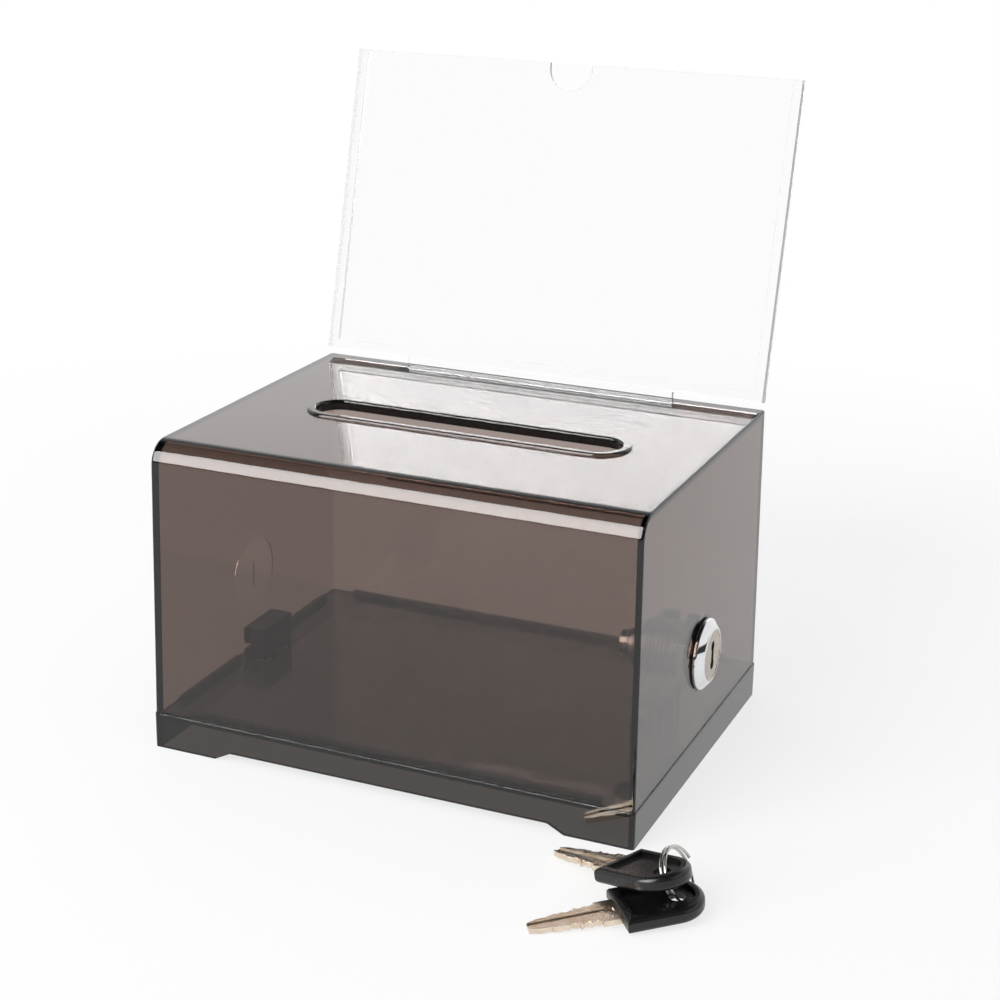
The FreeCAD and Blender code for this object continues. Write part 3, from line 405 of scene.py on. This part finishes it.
@dataclass
class Housing:
    """Base, cover and sign holder: the see-through pieces, the two blocks and their screws."""

    nodes: dict[str, bpy.types.Object]
    block_edge_mm: float = 0.3
    screw_edge_mm: float = 0.35
    sign_lean: float = 14.15
    sign_digits: int = 6
    sign_pieces: tuple[str, ...] = ("sign_front_pane", "sign_back_pane", "sign_left_strip",
                                    "sign_right_strip", "sign_tongue_strip")

    def build(self) -> None:
        """Dress the pieces."""
        smoked_base = SMOKED_BASE.make()
        dress(self.nodes["cover_shell"], SMOKED.make())
        dress(self.nodes["base_tray"], smoked_base)
        dress(self.nodes["catch_block"], smoked_base)
        add_piece(self.sign_holder(), SIGN_HOLDER, ACRYLIC.make(), Body.SIGN_HOLDER, "clear_acrylic",
                  *self.sign_pieces)
        dress(self.nodes["hook_block"], BLACK_BLOCK.make())
        soften(self.nodes["hook_block"], self.block_edge_mm)
        dress(self.nodes["block_screws"], ZINC.make())
        soften(self.nodes["block_screws"], self.screw_edge_mm)

    def sign_holder(self) -> bmesh.types.BMesh:
        """Bond the panes and strips with cement, which leaves no faces to see inside the clear sheet.

        Returns:
            The bonded mesh.
        """
        solids = []
        upright = Matrix.Rotation(math.radians(self.sign_lean), 4, "X")
        for name in self.sign_pieces:
            shape = bmesh.new()
            shape.from_mesh(self.nodes[name].data)
            bmesh.ops.remove_doubles(shape, verts=shape.verts, dist=SAME_POINT)
            for vert in shape.verts:
                vert.co = [round(part, self.sign_digits) for part in upright @ vert.co]
            mesh = bpy.data.meshes.new(f"{name}_copy")
            shape.to_mesh(mesh)
            shape.free()
            solids.append(bpy.data.objects.new(f"{name}_copy", mesh))
            bpy.context.scene.collection.objects.link(solids[-1])
        for other in solids[1:]:
            bond = solids[0].modifiers.new("bond", "BOOLEAN")
            bond.operation = "UNION"
            bond.solver = "EXACT"
            bond.object = other
        bonded = bmesh.new()
        bonded.from_object(solids[0], bpy.context.evaluated_depsgraph_get())
        for solid in solids:
            bpy.data.meshes.remove(solid.data)
        bmesh.ops.remove_doubles(bonded, verts=bonded.verts, dist=SAME_POINT)
        bmesh.ops.dissolve_limit(bonded, angle_limit=FLAT_ANGLE, verts=bonded.verts, edges=bonded.edges)
        bmesh.ops.transform(bonded, matrix=upright.inverted(), verts=bonded.verts)
        return bonded


@dataclass
class Lock:
    """Cam lock: chrome bezel, threaded barrel, plug with wafers, and the pieces that hold the cam.

    Lengths are in millimetres. The lock's axis runs along X, outwards; angles are in degrees, from straight
    down towards the rear. The thread's form gives each point's share of the pitch and of the depth.
    """

    nodes: dict[str, bpy.types.Object]
    axis_height: float = 38.8
    bezel_back: float = 81.088
    bezel_radius: float = 11.5
    bezel_rim: float = 1.2
    bezel_rise: float = 3.2
    bezel_face_radius: float = 8.8
    bezel_soft: float = 0.35
    bezel_steps: int = 4
    bezel_margin: float = 0.01
    recess_radius: float = 8.15
    recess_depth: float = 1.5
    bore_radius: float = 6.35
    barrel_end: float = 62.088
    barrel_radius: float = 9.3
    barrel_half_flats: float = 8.1
    thread_pitch: float = 1.25
    thread_depth: float = 0.5
    thread_steps: int = 48
    thread_form: tuple[tuple[float, float], ...] = ((0.0, 0.0), (0.2, 0.0), (0.5, 1.0), (0.7, 1.0),
                                                    (1.0, 0.0))
    collar_thick: float = 1.5
    collar_wall: float = 1.4
    collar_start: float = 113.9
    collar_sweep: float = 222.2
    spring_row: tuple[float, ...] = (69.338, 71.938, 74.538, 77.138, 79.738)
    spring_side: float = 4.15
    spring_low: float = 35.0
    spring_length: float = 3.8
    spring_radius: float = 0.6
    spring_wire: float = 0.24
    spring_turns: int = 7
    spring_steps: int = 14
    spring_sides: int = 6
    washer_face: float = 57.488
    washer_radius: float = 4.195
    washer_bore: float = 2.03
    washer_thick: float = 0.84
    washer_set: float = 0.16
    washer_start: float = 20.0
    washer_turn: float = 350.0
    round_steps: int = 64
    edge_mm: float = 0.25

    def build(self) -> None:
        """Make the turned and wound pieces and dress the others."""
        chrome = CHROME.make()
        zinc = ZINC.make()
        spring = SPRING.make()
        cast = DIE_CAST.make()
        add_piece(self.bezel(), "lock_bezel", chrome, Body.COVER, "lock_chrome", "lock_housing")
        add_piece(self.barrel(), "lock_threaded_barrel", cast, Body.COVER, "lock_chrome", "lock_housing")
        add_piece(self.collar(), "lock_stop_collar", cast, Body.COVER, "lock_chrome", "lock_housing")
        add_piece(self.springs(), "wafer_coil_springs", spring, Body.LOCK_CORE, "spring_steel",
                  "wafer_springs")
        add_piece(self.split_washer(), "cam_split_washer", spring, Body.LOCK_CORE, "spring_steel",
                  "cam_spring_washer")
        dress(self.nodes["lock_plug"], NICKEL.make())
        dress(self.nodes["lock_gasket"], RUBBER.make())
        dress(self.nodes["lock_cam"], CAM.make())
        dress(self.nodes["lock_wafers"], BRASS.make())
        for name in ("lock_washer", "lock_nut", "stop_washer", "cam_screw"):
            dress(self.nodes[name], zinc)
        for name in ("lock_nut", "lock_cam", "cam_screw"):
            soften(self.nodes[name], self.edge_mm)

    def at(self, along: float, out: float, angle: float = 180.0) -> Vector:
        """Give a point of the lock.

        Args:
            along: distance along the axis.
            out: distance from the axis.
            angle: angle round the axis, from straight down towards the rear.

        Returns:
            The point, in metres.
        """
        turned = math.radians(angle)
        return Vector((along, out * math.sin(turned), self.axis_height - out * math.cos(turned))) * MM

    def profile(self, shape: bmesh.types.BMesh, points: list[tuple[float, float]], angle: float = 180.0,
                closed: bool = True) -> list[bmesh.types.BMEdge]:
        """Draw a profile beside the axis.

        Args:
            shape: mesh that gets it.
            points: distance along and distance from the axis of each point.
            angle: angle round the axis at which it is drawn.
            closed: whether the last point joins the first.

        Returns:
            The profile's edges.
        """
        verts = [shape.verts.new(self.at(along, out, angle)) for along, out in points]
        pairs = list(zip(verts, verts[1:] + verts[:1])) if closed else list(zip(verts, verts[1:]))
        return [shape.edges.new(pair) for pair in pairs]

    def turn(self, shape: bmesh.types.BMesh, geom: list[Any], angle: float, steps: int,
             advance: float = 0.0) -> None:
        """Spin a profile about the lock's axis.

        Args:
            shape: mesh that holds it.
            geom: what is spun.
            angle: how far, in degrees.
            steps: number of steps.
            advance: how far it moves along the axis meanwhile.
        """
        bmesh.ops.spin(shape, geom=geom, cent=self.at(0.0, 0.0), axis=(1.0, 0.0, 0.0),
                       dvec=(advance * MM / steps, 0.0, 0.0), angle=math.radians(angle), steps=steps,
                       use_merge=angle == FULL_TURN and advance == 0.0)

    def bezel(self) -> bmesh.types.BMesh:
        """Turn the bezel: a rim, a coned face, the seat of the plug's head and the bore.

        Returns:
            Its mesh.
        """
        shape = bmesh.new()
        front = self.bezel_back + self.bezel_rise
        edges = self.profile(shape, [
            (self.bezel_back, self.bezel_radius), (self.bezel_back + self.bezel_rim, self.bezel_radius),
            (front, self.bezel_face_radius), (front, self.recess_radius),
            (front - self.recess_depth, self.recess_radius), (front - self.recess_depth, self.bore_radius),
            (self.bezel_back, self.bore_radius)])
        outer = [vert for vert in shape.verts if (vert.co - self.at(vert.co.x / MM, 0.0)).length
                 > (self.recess_radius + self.bezel_margin) * MM]
        bmesh.ops.bevel(shape, geom=outer, offset=self.bezel_soft * MM, segments=self.bezel_steps,
                        profile=0.5, affect="VERTICES", material=-1)
        self.turn(shape, shape.verts[:] + shape.edges[:], FULL_TURN, self.round_steps)
        return shape

    def barrel(self) -> bmesh.types.BMesh:
        """Wind the barrel's thread, cut its ends and two flats, and open its bore.

        Returns:
            Its mesh.
        """
        shape = bmesh.new()
        pitch = self.thread_pitch
        root = self.barrel_radius - self.thread_depth
        turns = math.ceil((self.bezel_back - self.barrel_end) / pitch) + 2
        start = self.barrel_end - pitch
        self.profile(shape, [(start + along * pitch, root + rise * self.thread_depth)
                             for along, rise in self.thread_form], closed=False)
        self.turn(shape, shape.verts[:] + shape.edges[:], FULL_TURN * turns,
                  self.thread_steps * turns, pitch * turns)
        bmesh.ops.remove_doubles(shape, verts=shape.verts, dist=SAME_POINT)
        high = (self.axis_height + self.barrel_half_flats) * MM
        low = (self.axis_height - self.barrel_half_flats) * MM
        near_end, far_end = self.barrel_end * MM, self.bezel_back * MM
        for place, normal in ((Vector((near_end, 0.0, 0.0)), Vector((-1.0, 0.0, 0.0))),
                              (Vector((far_end, 0.0, 0.0)), Vector((1.0, 0.0, 0.0))),
                              (Vector((0.0, 0.0, high)), Vector((0.0, 0.0, 1.0))),
                              (Vector((0.0, 0.0, low)), Vector((0.0, 0.0, -1.0)))):
            bmesh.ops.bisect_plane(shape, geom=shape.verts[:] + shape.edges[:] + shape.faces[:],
                                   dist=CUT_REACH, plane_co=place, plane_no=normal, clear_outer=True)
        for level in (high, low):
            bmesh.ops.bridge_loops(shape, edges=self.rim(shape, 2, level))
        bore = self.profile(shape, [(self.barrel_end, self.bore_radius), (self.bezel_back, self.bore_radius)],
                            closed=False)
        self.turn(shape, [*bore[0].verts, *bore], FULL_TURN, self.round_steps)
        for place in (near_end, far_end):
            bmesh.ops.triangle_fill(shape, edges=self.rim(shape, 0, place), use_beauty=True)
        return shape

    @staticmethod
    def rim(shape: bmesh.types.BMesh, axis: int, level: float) -> list[bmesh.types.BMEdge]:
        """Find the open edges that lie in a plane.

        Args:
            shape: mesh to search.
            axis: number of the axis that the plane is square to.
            level: the plane's place on that axis.

        Returns:
            The edges.
        """
        return [edge for edge in shape.edges if edge.is_boundary
                and all(abs(vert.co[axis] - level) < SAME_POINT for vert in edge.verts)]

    def collar(self) -> bmesh.types.BMesh:
        """Sweep the collar on the barrel's end, whose own two ends stop the plug's turn.

        Returns:
            Its mesh.
        """
        shape = bmesh.new()
        inner = self.barrel_half_flats - self.collar_wall
        self.profile(shape, [(self.barrel_end - self.collar_thick, inner), (self.barrel_end, inner),
                             (self.barrel_end, self.barrel_half_flats),
                             (self.barrel_end - self.collar_thick, self.barrel_half_flats)],
                     self.collar_start)
        shape.faces.new(shape.verts[:])
        self.turn(shape, shape.verts[:] + shape.edges[:] + shape.faces[:], self.collar_sweep,
                  self.round_steps)
        return shape

    def springs(self) -> bmesh.types.BMesh:
        """Wind the small coil spring under each wafer's ear.

        Returns:
            The mesh of all springs.
        """
        shape = bmesh.new()
        coil = self.spring_radius - self.spring_wire / 2
        steps = self.spring_steps * self.spring_turns
        rise = (self.spring_length - self.spring_wire) / steps
        for along in self.spring_row:
            start = Vector((along, self.spring_side + coil, self.spring_low + self.spring_wire / 2)) * MM
            wire = bmesh.ops.create_circle(shape, segments=self.spring_sides,
                                           radius=self.spring_wire / 2 * MM,
                                           matrix=Matrix.Translation(start)
                                           @ Matrix.Rotation(math.pi / 2, 4, "Y"))["verts"]
            edges = list({edge for vert in wire for edge in vert.link_edges})
            bmesh.ops.spin(shape, geom=wire + edges, cent=Vector((along, self.spring_side, 0.0)) * MM,
                           axis=(0.0, 0.0, 1.0), dvec=(0.0, 0.0, rise * MM),
                           angle=2 * math.pi * self.spring_turns, steps=steps, use_merge=False)
        bmesh.ops.holes_fill(shape, edges=[edge for edge in shape.edges if edge.is_boundary], sides=0)
        return shape

    def split_washer(self) -> bmesh.types.BMesh:
        """Sweep the spring washer, whose split ends stand a little apart.

        Returns:
            Its mesh.
        """
        shape = bmesh.new()
        self.profile(shape, [(self.washer_face, self.washer_bore),
                             (self.washer_face + self.washer_thick, self.washer_bore),
                             (self.washer_face + self.washer_thick, self.washer_radius),
                             (self.washer_face, self.washer_radius)], self.washer_start)
        shape.faces.new(shape.verts[:])
        self.turn(shape, shape.verts[:] + shape.edges[:] + shape.faces[:], self.washer_turn,
                  self.round_steps, self.washer_set)
        return shape


@dataclass
class Keys:
    """Two keys on a split ring."""

    nodes: dict[str, bpy.types.Object]
    blade_edge_mm: float = 0.12

    def build(self) -> None:
        """Dress the pieces."""
        head = KEY_HEAD.make()
        for side, blade in (("lower", LOWER_BLADE), ("upper", UPPER_BLADE)):
            dress(self.nodes[f"{side}_key_head"], head)
            dress(self.nodes[f"{side}_key_blade"], blade.make())
            soften(self.nodes[f"{side}_key_blade"], self.blade_edge_mm)
        dress(self.nodes["key_ring"], RING_WIRE.make())


@dataclass
class Studio:
    """White table and backdrop, a big soft lamp at the front left, a weak one behind, and the camera."""

    camera_place_mm: tuple[float, float, float] = (250.221, -565.174, 292.323)
    camera_yaw: float = 22.906
    camera_pitch: float = 19.185
    camera_roll: float = 1.032
    focal_pixels: float = 2041.61
    image_pixels: float = 1000.0
    sensor_mm: float = 36.0
    key_middle: tuple[float, float] = (-0.575, -1.06)
    key_width: float = 1.15
    key_low: float = 0.2
    key_split: float = 0.66
    key_high: float = 1.7
    key_gloss: float = 9.7
    key_light: float = 4.8
    key_gap: float = 0.03
    pane_gloss_low: float = 0.74
    pane_gloss_high: float = 6.6
    back_size: tuple[float, float] = (2.6, 1.1)
    back_place: tuple[float, float, float] = (-0.7, 1.6, 0.75)
    back_radiance: float = 0.45
    fill: float = 0.6
    floor_half: float = 6.0
    floor_drop: float = 0.0002
    floor_colour: str = "f4f4f4"
    floor_glow: float = 0.74
    glow_reach: tuple[float, float] = (0.24, 0.5)
    overhead: float = 0.03
    overhead_rise: tuple[float, float] = (0.55, 0.85)
    front: float = 0.12
    front_rise: tuple[float, float] = (-0.4, -0.2)
    side_dark: float = 0.96
    side_rise: tuple[float, float] = (0.7, 0.8)
    side_top: tuple[float, float] = (0.16, 0.2)
    clip: tuple[float, float] = (0.01, 50.0)

    def build(self) -> None:
        """Set up table, light and camera."""
        self.add_floor()
        self.add_key_light()
        self.add_lamp("back_soft_box", self.back_size, self.back_place, self.back_radiance, 180.0)
        self.add_world()
        self.add_camera()
        bpy.context.scene.view_settings.view_transform = "Standard"

    def add_floor(self) -> None:
        """Lay a large matt white table that keeps the shadow."""
        mesh = bpy.data.meshes.new("table_top")
        sheet = bmesh.new()
        bmesh.ops.create_grid(sheet, x_segments=1, y_segments=1, size=self.floor_half,
                              matrix=Matrix.Translation((0.0, 0.0, -self.floor_drop)))
        sheet.to_mesh(mesh)
        sheet.free()
        floor = bpy.data.objects.new("table_top", mesh)
        bpy.context.scene.collection.objects.link(floor)
        material, tree, output = new_material("white_table_laminate")
        matt = add_node(tree, "ShaderNodeBsdfDiffuse", {"Color": linear(self.floor_colour)})
        glow = add_node(tree, "ShaderNodeEmission", {"Color": WHITE, "Strength": 1.0})
        path = add_node(tree, "ShaderNodeLightPath")
        mirrored = add_node(tree, "ShaderNodeMath", {0: path.outputs["Is Camera Ray"],
                                                     1: path.outputs["Is Glossy Ray"]}, operation="MAXIMUM")
        place = add_node(tree, "ShaderNodeTexCoord").outputs["Object"]
        away = add_node(tree, "ShaderNodeVectorMath", {0: place}, operation="LENGTH")
        share = add_node(tree, "ShaderNodeMapRange", {
            "Value": away.outputs["Value"], "From Min": self.glow_reach[0], "From Max": self.glow_reach[1],
            "To Min": self.floor_glow, "To Max": 1.0})
        seen = add_node(tree, "ShaderNodeMath", {0: mirrored.outputs[0], 1: share.outputs["Result"]},
                        operation="MULTIPLY")
        both = add_node(tree, "ShaderNodeMixShader", {0: seen.outputs[0], 1: matt.outputs[0],
                                                      2: glow.outputs[0]})
        tree.links.new(both.outputs[0], output.inputs["Surface"])
        dress(floor, material)

    def add_key_light(self) -> None:
        """Stand the big soft box at the front left.

        What gloss mirrors of it and what lights matt surfaces are lamps of their own. So is what the sign
        holder mirrors: a weak one for the soft box's lower part, which would wash the panes out, and two, one
        behind the other, for its upper part.
        """
        across, ahead = self.key_middle
        box = (self.key_low, self.key_high)
        for name, (low, high), nearer, radiance, link_state in (
                ("key_light", box, -self.key_gap, self.key_light, "EXCLUDE"),
                ("key_gloss", box, 0.0, self.key_gloss, "EXCLUDE"),
                ("pane_gloss_low", (self.key_low, self.key_split), 0.0, self.pane_gloss_low, "INCLUDE"),
                ("pane_gloss_high", (self.key_split, self.key_high), 0.0, self.pane_gloss_high, "INCLUDE"),
                ("pane_gloss_rear", (self.key_split, self.key_high), -self.key_gap, self.pane_gloss_high,
                 "INCLUDE")):
            lamp = self.add_lamp(name, (self.key_width, high - low),
                                 (across, ahead + nearer, (low + high) / 2), radiance, 0.0)
            lamp.visible_glossy = name != "key_light"
            lamp.visible_diffuse = name == "key_light"
            panes = bpy.data.collections.new(f"{name}_panes")
            panes.objects.link(bpy.data.objects[SIGN_HOLDER])
            panes.collection_objects[0].light_linking.link_state = link_state
            lamp.light_linking.receiver_collection = panes

    def add_lamp(self, name: str, size: tuple[float, float], place: tuple[float, float, float],
                 radiance: float, turn: float) -> bpy.types.Object:
        """Stand a large soft lamp upright.

        Args:
            name: name of the lamp.
            size: width and height.
            place: its middle.
            radiance: brightness of its face, where one is white.
            turn: angle about the vertical, in degrees, from facing the back.

        Returns:
            The lamp.
        """
        lamp = bpy.data.lights.new(name, "AREA")
        lamp.shape = "RECTANGLE"
        lamp.size, lamp.size_y = size
        lamp.energy = math.pi * size[0] * size[1] * radiance
        holder = bpy.data.objects.new(name, lamp)
        holder.location = place
        holder.rotation_euler = (math.pi / 2, 0.0, math.radians(turn))
        bpy.context.scene.collection.objects.link(holder)
        return holder

    def add_world(self) -> None:
        """Make a white backdrop and a weak even fill.

        Gloss and glass see the backdrop darker overhead, in front and low at the right.
        """
        world = bpy.data.worlds.new("studio")
        bpy.context.scene.world = world
        world.use_nodes = True
        tree = world.node_tree
        tree.nodes.clear()
        output = add_node(tree, "ShaderNodeOutputWorld")
        way = add_node(tree, "ShaderNodeTexCoord").outputs["Generated"]
        apart = add_node(tree, "ShaderNodeSeparateXYZ", {"Vector": way})
        ceiling = add_node(tree, "ShaderNodeMapRange", {
            "Value": apart.outputs["Z"], "From Min": self.overhead_rise[0], "From Max": self.overhead_rise[1],
            "To Min": 1.0, "To Max": self.overhead})
        side = add_node(tree, "ShaderNodeMapRange", {
            "Value": apart.outputs["X"], "From Min": self.side_rise[0], "From Max": self.side_rise[1]})
        low = add_node(tree, "ShaderNodeMapRange", {
            "Value": apart.outputs["Z"], "From Min": self.side_top[0], "From Max": self.side_top[1],
            "To Min": self.side_dark, "To Max": 0.0})
        dark = add_node(tree, "ShaderNodeMath", {0: side.outputs["Result"], 1: low.outputs["Result"]},
                        operation="MULTIPLY")
        bright = add_node(tree, "ShaderNodeMath", {0: 1.0, 1: dark.outputs[0]}, operation="SUBTRACT")
        ahead = add_node(tree, "ShaderNodeMapRange", {
            "Value": apart.outputs["Y"], "From Min": self.front_rise[0], "From Max": self.front_rise[1],
            "To Min": self.front, "To Max": 1.0})
        round_about = add_node(tree, "ShaderNodeMath", {0: ahead.outputs["Result"], 1: bright.outputs[0]},
                               operation="MULTIPLY")
        level = add_node(tree, "ShaderNodeMath", {0: ceiling.outputs["Result"], 1: round_about.outputs[0]},
                         operation="MULTIPLY")
        shown = add_node(tree, "ShaderNodeBackground", {"Color": WHITE, "Strength": level.outputs[0]})
        fill = add_node(tree, "ShaderNodeBackground", {"Color": WHITE, "Strength": self.fill})
        path = add_node(tree, "ShaderNodeLightPath")
        seen = add_node(tree, "ShaderNodeMath", {0: path.outputs["Is Glossy Ray"],
                                                 1: path.outputs["Is Transmission Ray"]}, operation="MAXIMUM")
        both = add_node(tree, "ShaderNodeMixShader", {0: seen.outputs[0], 1: fill.outputs[0],
                                                      2: shown.outputs[0]})
        backdrop = add_node(tree, "ShaderNodeBackground", {"Color": WHITE, "Strength": 1.0})
        all_rays = add_node(tree, "ShaderNodeMixShader", {
            0: path.outputs["Is Camera Ray"], 1: both.outputs[0], 2: backdrop.outputs[0]})
        tree.links.new(all_rays.outputs[0], output.inputs["Surface"])

    def add_camera(self) -> None:
        """Stand the camera where the photograph was taken from."""
        yaw = math.radians(self.camera_yaw)
        pitch = math.radians(self.camera_pitch)
        roll = math.radians(self.camera_roll)
        ahead = Vector((-math.sin(yaw) * math.cos(pitch), math.cos(yaw) * math.cos(pitch), -math.sin(pitch)))
        level = Vector((math.cos(yaw), math.sin(yaw), 0.0))
        upright = level.cross(ahead)
        right = level * math.cos(roll) + upright * math.sin(roll)
        above = upright * math.cos(roll) - level * math.sin(roll)
        turn = Matrix((right, above, -ahead)).transposed()
        data = bpy.data.cameras.new("camera")
        data.sensor_width = self.sensor_mm
        data.lens = self.focal_pixels / self.image_pixels * self.sensor_mm
        data.clip_start, data.clip_end = self.clip
        camera = bpy.data.objects.new("camera", data)
        camera.matrix_world = Matrix.Translation(Vector(self.camera_place_mm) * MM) @ turn.to_4x4()
        bpy.context.scene.collection.objects.link(camera)
        bpy.context.scene.camera = camera


def main() -> None:
    """Load the solids, dress them, and set up the studio."""
    logging.basicConfig(level=logging.INFO, format="%(name)s %(message)s")
    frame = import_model()
    nodes = frame["nodes"]
    for assembly in (Housing(nodes), Lock(nodes), Keys(nodes), Studio()):
        assembly.build()


if __name__ == "__main__":
    main()
